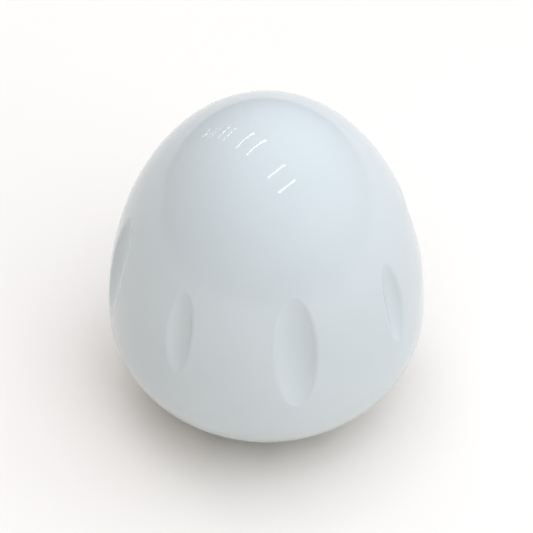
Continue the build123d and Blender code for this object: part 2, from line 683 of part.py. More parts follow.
def make_hammer_anchor():
    """Anchor with two beaks astride the star wheel."""
    low = PLATE_TOP_FACE + STRIKE_LEVEL + WHEEL_THICKNESS + ROCKER_LIFT
    outline = disc(ROCKER_HUB_RADIUS, HAMMER)
    for point in rocker_points(*HAMMER_SIZES):
        outline = outline + bar(HAMMER, point, ROCKER_ARM_WIDTH)
    anchor = slab(outline - disc(ARBOR_RADIUS, HAMMER), low, ROCKER_THICKNESS)
    for point in rocker_points(*HAMMER_SIZES):
        anchor = anchor + rod(HAMMER_BEAK_RADIUS, PLATE_TOP_FACE + STRIKE_LEVEL, low + ROCKER_THICKNESS, point)
    return anchor


def hammer_low():
    """Underside of the hammer arm, below the bottom plate."""
    return BOTTOM_PLATE_Z - BELL_RIM_GAP - HAMMER_HEAD_HEIGHT / 2 - HAMMER_ARM_THICKNESS / 2


def hammer_head_place():
    """Centre of the hammer head, its outside just short of the bell."""
    reach = BELL_RADIUS - BELL_THICKNESS - HAMMER_GAP - HAMMER_HEAD_RADIUS
    return polar(reach, bearing_of(HAMMER) + HAMMER_HEAD_LEAD)


def make_hammer_arm():
    """Flat arm from the hammer arbor to the head."""
    centre = hammer_head_place()
    outline = bar(HAMMER, centre, HAMMER_ARM_WIDTH) + disc(ROCKER_HUB_RADIUS, HAMMER)
    outline = outline - disc(HAMMER_HEAD_RADIUS, centre) - disc(ARBOR_RADIUS, HAMMER)
    return slab(outline, hammer_low(), HAMMER_ARM_THICKNESS)


def make_hammer_head():
    """Brass head that strikes the bell from inside."""
    low = hammer_low() - (HAMMER_HEAD_HEIGHT - HAMMER_ARM_THICKNESS) / 2
    return rod(HAMMER_HEAD_RADIUS, low, low + HAMMER_HEAD_HEIGHT, hammer_head_place())


# ---------------------------------------------------------------- bell

def bell_half(inset):
    """Half profile of the bell's cup, inset for the inner surface."""
    rim = BOTTOM_PLATE_Z - BELL_RIM_GAP
    low = BELL_BOTTOM_Z + inset
    radius = BELL_RADIUS - inset
    corner = BELL_CORNER
    bend = CenterArc((radius - corner, low + corner), corner, -90, arc_size=90)
    return Wire([
        Line((0, rim), (0, low)),
        Line((0, low), bend @ 0),
        bend,
        Line(bend @ 1, (radius, rim)),
        Line((radius, rim), (0, rim)),
    ])


def make_bell():
    """Steel bell cup, open upwards, under the bottom plate."""
    outer = revolve(Plane.XZ * make_face(bell_half(0)), Axis.Z)
    inner = revolve(Plane.XZ * make_face(bell_half(BELL_THICKNESS)), Axis.Z)
    return outer - inner - rod(SCREW_RADIUS, BELL_BOTTOM_Z, BELL_BOTTOM_Z + BELL_THICKNESS)


def make_bell_stud():
    """Stud riveted in the bottom plate: it carries the bell and is the main arbor's lower bush."""
    low = BELL_BOTTOM_Z + BELL_THICKNESS
    stud = rod(BELL_STUD_RADIUS, low, BOTTOM_PLATE_Z)
    stud = stud + rod(MAIN_PIVOT_RADIUS + BELL_STUD_RIVET_WALL, BOTTOM_PLATE_Z, PLATE_TOP_FACE)
    bore_low = BOTTOM_PLATE_Z - PLATE_THICKNESS
    stud = stud - rod(MAIN_PIVOT_RADIUS + MAIN_CLEARANCE, bore_low, PLATE_TOP_FACE)
    return stud - rod(SCREW_RADIUS, low, low + bell_thread())


def bell_thread():
    """Depth of the thread in the bell stud, short of the arbor's bore."""
    return (BOTTOM_PLATE_Z - PLATE_THICKNESS - BELL_BOTTOM_Z - BELL_THICKNESS) / 2


def make_bell_screw():
    """Screw that holds the bell under its stud."""
    sizes = (BELL_THICKNESS + bell_thread(), SCREW_RADIUS, SCREW_HEAD_RADIUS, SCREW_HEAD_HEIGHT)
    return slotted_screw(MAIN, BELL_BOTTOM_Z, *sizes, down=False)


# ---------------------------------------------------------------- main arbor

def make_main_arbor():
    """Main arbor: lower pivot, spring barrel, running seat, clip groove and D-shaped top."""
    barrel_low = PLATE_TOP_FACE + END_SHAKE
    barrel_high = GREAT_Z - END_SHAKE
    arbor = rod(MAIN_PIVOT_RADIUS, BOTTOM_PLATE_Z - PLATE_THICKNESS + END_SHAKE, barrel_low)
    arbor = arbor + rod(SPRING_BARREL_RADIUS, barrel_low, barrel_high)
    arbor = arbor + rod(MAIN_RADIUS, barrel_high, ARBOR_TOP_Z)
    arbor = arbor - tube(MAIN_RADIUS, CLIP_GROOVE_RADIUS, CLIP_Z, CLIP_Z + CLIP_THICKNESS)
    flat = Pos(D_FLAT, 0, ARBOR_TOP_Z) * Box(2 * MAIN_RADIUS, 2 * MAIN_RADIUS, 2 * D_LENGTH,
                                             align=(Align.MIN, Align.CENTER, Align.CENTER))
    return arbor - flat


def make_great_wheel():
    """Great wheel, free on the arbor and driven through the winding clutch."""
    bore = MAIN_RADIUS + MAIN_CLEARANCE
    hub = CLUTCH_RADIUS + WHEEL_RIM
    return make_wheel(GREAT_TEETH, GREAT_MODULE, bore, MAIN, GREAT_Z, GREAT_WHEEL_THICKNESS, hub)


def make_winding_clutch():
    """Dished spring washer that slips on the great wheel while the knob is wound."""
    inner = MAIN_RADIUS
    low = (CLUTCH_RADIUS, CLUTCH_Z)
    high = (inner, CLUTCH_Z + CLUTCH_RISE)
    rise = CLUTCH_THICKNESS
    points = [low, (CLUTCH_RADIUS, CLUTCH_Z + rise), high, (inner, high[1] - rise)]
    return revolve(Plane.XZ * make_face(Polyline(*points, close=True)), Axis.Z)


def make_arbor_clip():
    """Retaining clip in the arbor's groove."""
    ring = Circle(CLIP_RADIUS) - Circle(CLIP_GROOVE_RADIUS)
    mouth = Pos(CLIP_RADIUS, 0) * Rectangle(2 * CLIP_RADIUS, CLIP_MOUTH)
    return slab(ring - mouth, CLIP_Z, CLIP_THICKNESS)


def nose_place():
    """Centre of the stop lever's nose, just off the cam's rim, square to the lever's arm."""
    reach = CAM_RADIUS + LEVER_NOSE_GAP + LEVER_NOSE_RADIUS
    opening = 90 - degrees(asin(reach / hypot(*LEVER_PIVOT)))
    return polar(reach, bearing_of(LEVER_PIVOT) + opening)


def make_stop_cam():
    """Disc with one wide notch, opposite the stop lever's nose at zero."""
    edges = [polar(2 * CAM_RADIUS, side * CAM_NOTCH_ANGLE / 2) for side in (-1, 1)]
    wedge = Polyline(MAIN, *edges, close=True)
    notch = make_face(wedge) - Circle(CAM_RADIUS - CAM_NOTCH_DEPTH)
    face = Circle(CAM_RADIUS) - Rot(0, 0, bearing_of(nose_place())) * notch - Circle(MAIN_RADIUS)
    return slab(face, CAM_Z, CAM_THICKNESS)


def spiral_edge(offset):
    """One edge of the mainspring's strip."""
    count = SPRING_TURNS * SPRING_POINTS_PER_TURN
    travel = SPRING_OUTER_RADIUS - SPRING_INNER_RADIUS - SPRING_STRIP
    points = []
    for index in range(count + 1):
        share = index / count
        radius = SPRING_INNER_RADIUS + travel * share + offset
        angle = radians(SPRING_POST_BEARING - 360 * SPRING_TURNS * (1 - share))
        points.append((radius * cos(angle), radius * sin(angle)))
    return Spline(*points)


def make_mainspring():
    """Spiral strip spring between the arbor and the spring post."""
    inner = spiral_edge(0)
    outer = spiral_edge(SPRING_STRIP)
    outline = Wire([inner, Line(inner @ 1, outer @ 1), outer, Line(outer @ 0, inner @ 0)])
    return slab(make_face(outline), PLATE_TOP_FACE + SPRING_LEVEL, SPRING_HEIGHT)


def make_spring_post():
    """Post that anchors the outer end of the mainspring."""
    high = PLATE_TOP_FACE + SPRING_LEVEL + SPRING_HEIGHT
    post = rod(SPRING_POST_RADIUS, PLATE_TOP_FACE, high, SPRING_POST)
    return post + rod(SPRING_POST_RADIUS / 2, BOTTOM_PLATE_Z, PLATE_TOP_FACE, SPRING_POST)


# ---------------------------------------------------------------- stop lever

def make_stop_lever():
    """Lever whose nose rides on the cam and drops into its notch at zero."""
    nose = nose_place()
    run = hypot(nose[0] - LEVER_PIVOT[0], nose[1] - LEVER_PIVOT[1])
    way = ((nose[0] - LEVER_PIVOT[0]) / run, (nose[1] - LEVER_PIVOT[1]) / run)
    tail = (LEVER_PIVOT[0] - way[0] * LEVER_TAIL_LENGTH, LEVER_PIVOT[1] - way[1] * LEVER_TAIL_LENGTH)
    outward = (nose[0] / hypot(*nose), nose[1] / hypot(*nose))
    offset = LEVER_ARM_WIDTH / 2 + LEVER_NOSE_GAP
    elbow = (nose[0] + outward[0] * offset, nose[1] + outward[1] * offset)
    outline = disc(LEVER_HUB_RADIUS, LEVER_PIVOT) + bar(LEVER_PIVOT, elbow, LEVER_ARM_WIDTH)
    outline = outline + bar(LEVER_PIVOT, tail, LEVER_ARM_WIDTH) + bar(elbow, nose, 2 * LEVER_NOSE_RADIUS)
    outline = outline - disc(LEVER_STUD_RADIUS + MAIN_CLEARANCE, LEVER_PIVOT)
    return slab(outline, CAM_Z, LEVER_THICKNESS)


def make_stop_lever_pivot():
    """Shouldered stud riveted in the top plate, with a head over the lever."""
    head_z = CAM_Z + LEVER_THICKNESS + END_SHAKE
    stud = rod(LEVER_STUD_HEAD_RADIUS, MOVEMENT_TOP, CAM_Z - END_SHAKE, LEVER_PIVOT)
    stud = stud + rod(LEVER_STUD_RADIUS, MOVEMENT_TOP, head_z, LEVER_PIVOT)
    stud = stud + rod(LEVER_STUD_RADIUS / 2, TOP_PLATE_Z, MOVEMENT_TOP, LEVER_PIVOT)
    return stud + rod(LEVER_STUD_HEAD_RADIUS, head_z, head_z + LEVER_THICKNESS, LEVER_PIVOT)


def make_stop_lever_spring():
    """Leaf spring that presses the lever's arm towards the cam."""
    nose = nose_place()
    run = hypot(nose[0] - LEVER_PIVOT[0], nose[1] - LEVER_PIVOT[1])
    way = ((nose[0] - LEVER_PIVOT[0]) / run, (nose[1] - LEVER_PIVOT[1]) / run)
    outward = (nose[0] / hypot(*nose), nose[1] / hypot(*nose))
    offset = LEVER_ARM_WIDTH + 2 * LEVER_NOSE_GAP + LEVER_SPRING_THICKNESS
    along = run * LEVER_SPRING_SHARE
    end = (LEVER_PIVOT[0] + way[0] * along + outward[0] * offset,
           LEVER_PIVOT[1] + way[1] * along + outward[1] * offset)
    start = (end[0] - way[0] * LEVER_SPRING_BACK + outward[0] * LEVER_SPRING_REACH,
             end[1] - way[1] * LEVER_SPRING_BACK + outward[1] * LEVER_SPRING_REACH)
    leaf = slab(bar(start, end, LEVER_SPRING_THICKNESS), MOVEMENT_TOP + END_SHAKE, CAM_LIFT + LEVER_THICKNESS)
    foot = rod(LEVER_STUD_RADIUS, MOVEMENT_TOP, CAM_Z + LEVER_THICKNESS, start)
    return leaf + foot


# ---------------------------------------------------------------- spider

def make_drive_spider():
    """Hub with a D-shaped bore and three arms that carry the dome."""
    outline = Circle(SPIDER_HUB_RADIUS)
    for bearing in spider_bearings():
        outline = outline + bar(MAIN, polar(SPIDER_POST_PITCH_RADIUS, bearing), SPIDER_ARM_WIDTH)
    spider = slab(outline, SPIDER_TOP - SPIDER_THICKNESS, SPIDER_THICKNESS)
    spider = spider + rod(SPIDER_HUB_RADIUS, SPIDER_TOP - SPIDER_HUB_HEIGHT, SPIDER_TOP)
    bore = rod(MAIN_RADIUS, SPIDER_TOP - SPIDER_HUB_HEIGHT, SPIDER_TOP)
    key = Pos(D_FLAT, 0, SPIDER_TOP) * Box(2 * MAIN_RADIUS, 2 * MAIN_RADIUS, 2 * SPIDER_HUB_HEIGHT,
                                           align=(Align.MIN, Align.CENTER, Align.CENTER))
    spider = spider - (bore - key)
    for bearing in spider_bearings():
        at = polar(SPIDER_POST_PITCH_RADIUS, bearing)
        spider = spider - rod(SPIDER_SCREW_RADIUS, SPIDER_TOP - SPIDER_THICKNESS, SPIDER_TOP, at)
    return spider


def main():
    """Build every node and write it."""
    os.makedirs("parts", exist_ok=True)
    save("dome_shell", make_dome_shell())
    save("drive_spider", make_drive_spider())
    save("spider_screws", *make_spider_screws())
    save("base_bowl", make_base_bowl())
    save("foot_ring", make_foot_ring())
    save("movement_screws", *make_movement_screws())
    save("bottom_plate", make_bottom_plate())
    save("top_plate", make_top_plate())
    save("pillars", *make_pillars())
    save("plate_screws", *make_plate_screws())
    save("top_bush", make_top_bush())
    save("main_arbor", make_main_arbor())
    save("mainspring", make_mainspring())
    save("spring_post", make_spring_post())
    save("winding_clutch", make_winding_clutch())
    save("arbor_clip", make_arbor_clip())
    save("stop_cam", make_stop_cam())
    save("great_wheel", make_great_wheel())
    save("second_arbor", driven_arbor(SECOND, GREAT_TEETH, GREAT_MODULE, SECOND_BEARING,
                                      GREAT_WHEEL_LEVEL, GREAT_WHEEL_THICKNESS))
    save("second_wheel", train_wheel(SECOND_TEETH, SECOND, SECOND_WHEEL_LEVEL))
    save("third_arbor", driven_arbor(THIRD, SECOND_TEETH, TRAIN_MODULE, THIRD_BEARING, SECOND_WHEEL_LEVEL))
    save("third_wheel", train_wheel(THIRD_TEETH, THIRD, THIRD_WHEEL_LEVEL))
    save("escape_arbor", driven_arbor(ESCAPE, THIRD_TEETH, TRAIN_MODULE, ESCAPE_BEARING, THIRD_WHEEL_LEVEL))
    save("escape_wheel", make_escape_wheel())
    save("pallet_arbor", make_arbor(PALLET))
    save("pallet_lever", make_pallet_lever())
    save("pallet_pins", *make_pallet_pins())
    save("strike_arbor", driven_arbor(STRIKE, GREAT_TEETH, GREAT_MODULE, STRIKE_BEARING,
                                      GREAT_WHEEL_LEVEL, GREAT_WHEEL_THICKNESS))
    save("strike_wheel", make_strike_wheel())
    save("hammer_arbor", make_hammer_arbor())
    save("hammer_anchor", make_hammer_anchor())
    save("hammer_arm", make_hammer_arm())
    save("hammer_head", make_hammer_head())
    save("stop_lever", make_stop_lever())
    save("stop_lever_pivot", make_stop_lever_pivot())
    save("stop_lever_spring", make_stop_lever_spring())
    save("bell", make_bell())
    save("bell_stud", make_bell_stud())
    save("bell_screw", make_bell_screw())


main()
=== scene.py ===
"""Looks of a wind-up egg kitchen timer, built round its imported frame. Lengths are in metres.

The shell, base and movement stand where the frame has them and get their finishes here. The
printed scale, the zero mark and the studio are made here.
"""

import json
import logging
from dataclasses import dataclass
from enum import Enum
from math import cos, radians, sin, tau

import bpy
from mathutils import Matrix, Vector


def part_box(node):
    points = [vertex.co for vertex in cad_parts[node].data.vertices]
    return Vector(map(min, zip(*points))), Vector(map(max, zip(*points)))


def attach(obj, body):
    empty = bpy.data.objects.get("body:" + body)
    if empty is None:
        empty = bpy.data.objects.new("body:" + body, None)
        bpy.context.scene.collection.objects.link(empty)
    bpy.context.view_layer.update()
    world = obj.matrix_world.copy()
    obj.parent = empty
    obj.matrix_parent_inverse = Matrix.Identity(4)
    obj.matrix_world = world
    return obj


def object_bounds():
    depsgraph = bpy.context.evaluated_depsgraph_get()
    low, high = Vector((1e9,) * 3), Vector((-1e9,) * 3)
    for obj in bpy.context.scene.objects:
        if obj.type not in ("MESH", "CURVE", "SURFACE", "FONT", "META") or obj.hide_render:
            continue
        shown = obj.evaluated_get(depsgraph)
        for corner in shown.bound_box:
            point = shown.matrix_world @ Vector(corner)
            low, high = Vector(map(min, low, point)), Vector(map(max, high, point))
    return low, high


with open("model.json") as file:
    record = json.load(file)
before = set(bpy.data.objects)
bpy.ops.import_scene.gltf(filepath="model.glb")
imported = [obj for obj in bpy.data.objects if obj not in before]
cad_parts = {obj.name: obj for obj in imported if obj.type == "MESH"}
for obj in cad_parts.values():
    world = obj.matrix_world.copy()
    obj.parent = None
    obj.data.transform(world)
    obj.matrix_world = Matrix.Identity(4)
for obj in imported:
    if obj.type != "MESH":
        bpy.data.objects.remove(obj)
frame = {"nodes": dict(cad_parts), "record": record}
CAD_LOW, CAD_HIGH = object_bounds()

MM = 0.001
LOG = logging.getLogger("kitchen_timer")

Colour = tuple[float, float, float]
Span = tuple[float, float]
Socket = bpy.types.NodeSocket
Setting = float | str | bool | bpy.types.Object

# The full range of a mask, and the part of its range that most of a noise lies in.
WHOLE: Span = (0.0, 1.0)
MIDDLE: Span = (0.3, 0.7)


# ---------------------------------------------------------------- shader graphs

class Grain(Enum):
    """The way the fine marks of a surface run, as scales along X, Y and Z."""

    EVEN = (1.0, 1.0, 1.0)
    TURNED = (0.05, 0.05, 1.0)
    BRUSHED = (0.04, 1.0, 1.0)
    UPRIGHT = (1.0, 1.0, 0.05)


class Graph:
    """A material being wired up, with short calls for the nodes the finishes share."""

    def __init__(self, name: str) -> None:
        """Start an empty node material that ends in a Principled shader.

        Args:
            name: The material's name.
        """
        self.material = bpy.data.materials.new(name)
        self.material.use_nodes = True
        self.nodes = self.material.node_tree.nodes
        self.links = self.material.node_tree.links
        self.shader = self.nodes["Principled BSDF"]
        self.place = self.nodes.new("ShaderNodeTexCoord").outputs["Object"]

    def set(self, **values: float) -> None:
        """Set constants on the shader's own sockets.

        Args:
            values: The constants by socket name, with underscores for spaces.
        """
        for key, value in values.items():
            self.shader.inputs[key.replace("_", " ")].default_value = value

    def noise(self, feature: float, grain: Grain = Grain.EVEN, detail: float = 3.0) -> Socket:
        """Noise whose features have a given size.

        Args:
            feature: Size of a feature, in metres.
            grain: The way the features are drawn out.
            detail: Octaves of finer noise laid over it.

        Returns:
            The noise's 0 to 1 output.
        """
        stretch = self.nodes.new("ShaderNodeMapping")
        stretch.inputs["Scale"].default_value = grain.value
        self.links.new(self.place, stretch.inputs["Vector"])
        node = self.nodes.new("ShaderNodeTexNoise")
        node.inputs["Scale"].default_value = 1.0 / feature
        node.inputs["Detail"].default_value = detail
        self.links.new(stretch.outputs["Vector"], node.inputs["Vector"])
        return node.outputs["Fac"]

    def specks(self, spacing: float, size: float) -> Socket:
        """Small round specks scattered through the surface.

        Args:
            spacing: Distance between specks, in metres.
            size: A speck's radius as a share of the spacing.

        Returns:
            A mask, 1 on a speck and 0 elsewhere.
        """
        node = self.nodes.new("ShaderNodeTexVoronoi")
        node.inputs["Scale"].default_value = 1.0 / spacing
        self.links.new(self.place, node.inputs["Vector"])
        return self.spread(node.outputs["Distance"], (size, 0.0), WHOLE)

    def spread(self, value: Socket, read: Span, made: Span) -> Socket:
        """Map a range of one value onto another range.

        Args:
            value: The value that is read.
            read: The start and end of the range that is read.
            made: What the start and the end become.

        Returns:
            The mapped value.
        """
        node = self.nodes.new("ShaderNodeMapRange")
        ends = ("From Min", "From Max", "To Min", "To Max")
        for end, level in zip(ends, (*read, *made)):
            node.inputs[end].default_value = level
        self.links.new(value, node.inputs["Value"])
        return node.outputs["Result"]

    def blend(self, mask: Socket, first: Colour | Socket, second: Colour) -> Socket:
        """Mix two colours by a mask.

        Args:
            mask: The mask.
            first: The colour where the mask is 0, or the output that gives it.
            second: The colour where the mask is 1.

        Returns:
            The mixed colour.
        """
        node = self.nodes.new("ShaderNodeMix")
        node.data_type = "RGBA"
        self.links.new(mask, node.inputs["Factor"])
        if isinstance(first, tuple):
            node.inputs["A"].default_value = (*first, 1.0)
        else:
            self.links.new(first, node.inputs["A"])
        node.inputs["B"].default_value = (*second, 1.0)
        return node.outputs["Result"]

    def relief(self, *layers: tuple[Socket, float]) -> None:
        """Stack bumps on the surface.

        Args:
            layers: Pairs of a height mask and how far it stands out, in metres.
        """
        normal = None
        for height, depth in layers:
            bump = self.nodes.new("ShaderNodeBump")
            bump.inputs["Strength"].default_value = 1.0
            bump.inputs["Distance"].default_value = depth
            self.links.new(height, bump.inputs["Height"])
            if normal is not None:
                self.links.new(normal, bump.inputs["Normal"])
            normal = bump.outputs["Normal"]
        self.links.new(normal, self.shader.inputs["Normal"])

    def feed(self, socket: str, value: Socket) -> None:
        """Drive one of the shader's sockets from a node."""
        self.links.new(value, self.shader.inputs[socket])


# ---------------------------------------------------------------- finishes

@dataclass(frozen=True)
class MouldedPlastic:
    """Injection-moulded plastic: slow ripple from cooling, fine scratches and a few inclusions.

    Attributes:
        name: The material's name, which is a slot of the record.
        colour: Colour of most of the surface.
        drift: Colour it drifts to in large soft patches.
        roughness: Roughness where the surface is clean, and where it is smeared.
        grain_depth: Depth of the fine scratches. grain_size is their spacing.
        ripple_depth: Depth of the slow ripple. ripple_size is its spacing.
        drift_size: Size of a patch of the second colour. drift_edge is how soft its edge is.
        smear_size: Size of a smear. smear_edge is how soft its edge is.
        speck: Colour of an inclusion. speck_share is its radius over speck_spacing.
        refraction: Index of refraction.
    """

    name: str
    colour: Colour
    drift: Colour
    roughness: Span
    grain_depth: float = 0.0006 * MM
    grain_size: float = 0.35 * MM
    ripple_depth: float = 0.02 * MM
    ripple_size: float = 16 * MM
    drift_size: float = 22.4 * MM
    drift_edge: Span = (0.35, 0.65)
    smear_size: float = 5.6 * MM
    smear_edge: Span = (0.35, 0.7)
    speck: Colour = (0.30, 0.29, 0.27)
    speck_spacing: float = 5.5 * MM
    speck_share: float = 0.018
    refraction: float = 1.49

    def build(self) -> bpy.types.Material:
        """Wire the material.

        Returns:
            The material.
        """
        graph = Graph(self.name)
        cloud = graph.spread(graph.noise(self.drift_size, detail=2.0), self.drift_edge, WHOLE)
        tone = graph.blend(cloud, self.colour, self.drift)
        specks = graph.specks(self.speck_spacing, self.speck_share)
        graph.feed("Base Color", graph.blend(specks, tone, self.speck))
        smear = graph.noise(self.smear_size, detail=4.0)
        graph.feed("Roughness", graph.spread(smear, self.smear_edge, self.roughness))
        graph.set(IOR=self.refraction)
        ripple = graph.noise(self.ripple_size, detail=1.0)
        grain = graph.noise(self.grain_size, detail=2.0)
        graph.relief((ripple, self.ripple_depth), (grain, self.grain_depth))
        return graph.material


@dataclass(frozen=True)
class WorkedMetal:
    """Bare or plated metal with tool marks along its grain and a little tarnish.

    Attributes:
        name: The material's name, which is a slot of the record.
        colour: Colour of the clean metal.
        tarnish: Colour where it has dulled.
        roughness: Roughness on a mark's low side and on its high side.
        grain: The way the tool marks run.
        mark_size: Spacing of the tool marks. mark_depth is their depth.
        tarnish_size: Size of a dulled patch. tarnish_edge is how soft its edge is.
    """

    name: str
    colour: Colour
    tarnish: Colour
    roughness: Span
    grain: Grain
    mark_size: float = 0.12 * MM
    mark_depth: float = 0.0012 * MM
    tarnish_size: float = 3.5 * MM
    tarnish_edge: Span = (0.42, 0.72)

    def build(self) -> bpy.types.Material:
        """Wire the material.

        Returns:
            The material.
        """
        graph = Graph(self.name)
        stain = graph.noise(self.tarnish_size, detail=5.0)
        marks = graph.noise(self.mark_size, self.grain, detail=2.0)
        cover = graph.spread(stain, self.tarnish_edge, WHOLE)
        graph.feed("Base Color", graph.blend(cover, self.colour, self.tarnish))
        graph.feed("Roughness", graph.spread(marks, MIDDLE, self.roughness))
        graph.set(Metallic=1.0)
        graph.relief((marks, self.mark_depth))
        return graph.material


@dataclass(frozen=True)
class SoftRubber:
    """Matt rubber with a fine moulded texture and dust in it.

    Attributes:
        name: The material's name, which is a slot of the record.
        colour: Colour of the rubber.
        dust: Colour of the dust.
        dust_size: Size of a dusty patch. dust_edge is how soft its edge is.
        dust_cover: How much the dust hides, from a patch's edge to its middle.
        roughness: Roughness of the clean rubber and of the dust.
        texture_size: Spacing of the moulded texture. texture_depth is its depth.
        specular: Strength of the mirror-like part.
    """

    name: str
    colour: Colour
    dust: Colour
    dust_size: float = 1.8 * MM
    dust_edge: Span = (0.5, 0.8)
    dust_cover: Span = (0.0, 0.6)
    roughness: Span = (0.72, 0.9)
    texture_size: float = 0.18 * MM
    texture_depth: float = 0.012 * MM
    specular: float = 0.3

    def build(self) -> bpy.types.Material:
        """Wire the material.

        Returns:
            The material.
        """
        graph = Graph(self.name)
        dust = graph.noise(self.dust_size, detail=6.0)
        cover = graph.spread(dust, self.dust_edge, self.dust_cover)
        graph.feed("Base Color", graph.blend(cover, self.colour, self.dust))
        graph.feed("Roughness", graph.spread(dust, MIDDLE, self.roughness))
        graph.set(Specular_IOR_Level=self.specular)
        graph.relief((graph.noise(self.texture_size), self.texture_depth))
        return graph.material


@dataclass(frozen=True)
class PadInk:
    """Pad-printed ink: even colour, slightly thin in places.

    Attributes:
        name: The material's name.
        colour: Colour of the full ink.
        thin: Colour where the surface under it shows through.
        patch_size: Size of a thin patch. patch_edge is how soft its edge is.
        patch_cover: How much shows through, from a patch's edge to its middle.
        roughness: Roughness of the full ink and of the thin ink.
        texture_size: Spacing of the ink's own texture. texture_depth is its depth.
    """

    name: str
    colour: Colour
    thin: Colour
    patch_size: float = 0.5 * MM
    patch_edge: Span = (0.45, 0.85)
    patch_cover: Span = (0.0, 0.5)
    roughness: Span = (0.32, 0.5)
    texture_size: float = 0.08 * MM
    texture_depth: float = 0.002 * MM

    def build(self) -> bpy.types.Material:
        """Wire the material.

        Returns:
            The material.
        """
        graph = Graph(self.name)
        patch = graph.noise(self.patch_size, detail=4.0)
        cover = graph.spread(patch, self.patch_edge, self.patch_cover)
        graph.feed("Base Color", graph.blend(cover, self.colour, self.thin))
        graph.feed("Roughness", graph.spread(patch, MIDDLE, self.roughness))
        graph.relief((graph.noise(self.texture_size), self.texture_depth))
        return graph.material


@dataclass(frozen=True)
class StudioPaint:
    """The floor's matt paint.

    Attributes:
        name: The material's name.
        colour: Colour of one patch of the floor.
        shade: Colour of the next.
        patch_size: Size of a patch.
        roughness: Roughness of the paint.
        specular: Strength of the mirror-like part.
    """

    name: str
    colour: Colour
    shade: Colour
    patch_size: float = 0.25
    roughness: float = 0.85
    specular: float = 0.2

    def build(self) -> bpy.types.Material:
        """Wire the material.

        Returns:
            The material.
        """
        graph = Graph(self.name)
        patch = graph.noise(self.patch_size)
        graph.feed("Base Color", graph.blend(patch, self.colour, self.shade))
        graph.set(Roughness=self.roughness, Specular_IOR_Level=self.specular)
        return graph.material


Finish = MouldedPlastic | WorkedMetal | SoftRubber | PadInk | StudioPaint

SHELL_WHITE = MouldedPlastic(
    "shell_white", (0.58, 0.632, 0.64), (0.60, 0.648, 0.652), (0.05, 0.10))
BASE_WHITE = MouldedPlastic(
    "base_white", (0.595, 0.635, 0.63), (0.615, 0.65, 0.645), (0.16, 0.26),
    grain_depth=0.0015 * MM)
SPIDER_GREY = MouldedPlastic(
    "spider_plastic", (0.40, 0.41, 0.42), (0.44, 0.45, 0.45), (0.32, 0.48),
    grain_depth=0.004 * MM, grain_size=0.25 * MM)
RUBBER = SoftRubber("rubber_grey", (0.13, 0.135, 0.14), (0.30, 0.29, 0.28))
SCREW_STEEL = WorkedMetal(
    "screw_steel", (0.56, 0.57, 0.58), (0.42, 0.41, 0.40), (0.22, 0.38), Grain.TURNED)
PLATE_BRASS = WorkedMetal(
    "plate_brass", (0.76, 0.56, 0.26), (0.55, 0.37, 0.16), (0.26, 0.42), Grain.BRUSHED)
WHEEL_BRASS = WorkedMetal(
    "wheel_brass", (0.80, 0.60, 0.29), (0.62, 0.43, 0.19), (0.20, 0.34), Grain.EVEN,
    mark_size=0.2 * MM)
ARBOR_STEEL = WorkedMetal(
    "arbor_steel", (0.62, 0.63, 0.65), (0.45, 0.45, 0.46), (0.14, 0.28), Grain.TURNED,
    mark_size=0.08 * MM)
SPRING_STEEL = WorkedMetal(
    "spring_steel", (0.10, 0.13, 0.24), (0.24, 0.17, 0.22), (0.22, 0.36), Grain.UPRIGHT,
    tarnish_size=6 * MM)
BELL_STEEL = WorkedMetal(
    "bell_steel", (0.72, 0.70, 0.66), (0.60, 0.56, 0.50), (0.10, 0.22), Grain.TURNED,
    mark_size=0.3 * MM, tarnish_size=9 * MM)
DIAL_INK = PadInk("dial_ink", (0.07, 0.075, 0.085), (0.20, 0.20, 0.21))
MARK_INK = PadInk("mark_ink", (0.42, 0.035, 0.03), (0.55, 0.10, 0.08))
FLOOR_PAINT = StudioPaint("floor_paint", (0.865, 0.825, 0.775), (0.855, 0.815, 0.765))

SLOT_FINISHES: tuple[Finish, ...] = (
    SHELL_WHITE, BASE_WHITE, SPIDER_GREY, RUBBER, SCREW_STEEL,
    PLATE_BRASS, WHEEL_BRASS, ARBOR_STEEL, SPRING_STEEL, BELL_STEEL,
)


# ---------------------------------------------------------------- modelling helpers

def clear_selection() -> None:
    """Leave nothing selected and no edit mode open."""
    if bpy.context.object is not None and bpy.context.object.mode != "OBJECT":
        bpy.ops.object.mode_set(mode="OBJECT")
    bpy.ops.object.select_all(action="DESELECT")


def pick(*pieces: bpy.types.Object) -> None:
    """Select only the given pieces.

    Args:
        pieces: The pieces. The first becomes the active one.
    """
    clear_selection()
    for piece in pieces:
        piece.select_set(True)
    bpy.context.view_layer.objects.active = pieces[0]


def apply_place(piece: bpy.types.Object) -> None:
    """Move a piece's place, turn and scale into its mesh."""
    pick(piece)
    bpy.ops.object.transform_apply(location=True, rotation=True, scale=True)


def apply_modifier(piece: bpy.types.Object, kind: str, **settings: Setting) -> None:
    """Add a modifier to a piece and apply it.

    Args:
        piece: The piece.
        kind: The modifier's type.
        settings: Values for the modifier's own settings.
    """
    pick(piece)
    modifier = piece.modifiers.new(kind.title(), kind)
    for key, value in settings.items():
        setattr(modifier, key, value)
    bpy.ops.object.modifier_apply(modifier=modifier.name)


def print_on(mark: bpy.types.Object, ink_thickness: float, **wrap: Setting) -> None:
    """Press a flat mark onto a CAD node and give its ink a thickness.

    Half of the ink stands out of the surface and half is sunk in it.

    Args:
        mark: The mark.
        ink_thickness: How far the ink stands out, in metres.
        wrap: The shrinkwrap's own settings, its target among them.
    """
    apply_modifier(mark, "SHRINKWRAP", wrap_mode="ABOVE_SURFACE", offset=ink_thickness, **wrap)
    apply_modifier(mark, "SOLIDIFY", thickness=2 * ink_thickness, offset=-1.0)


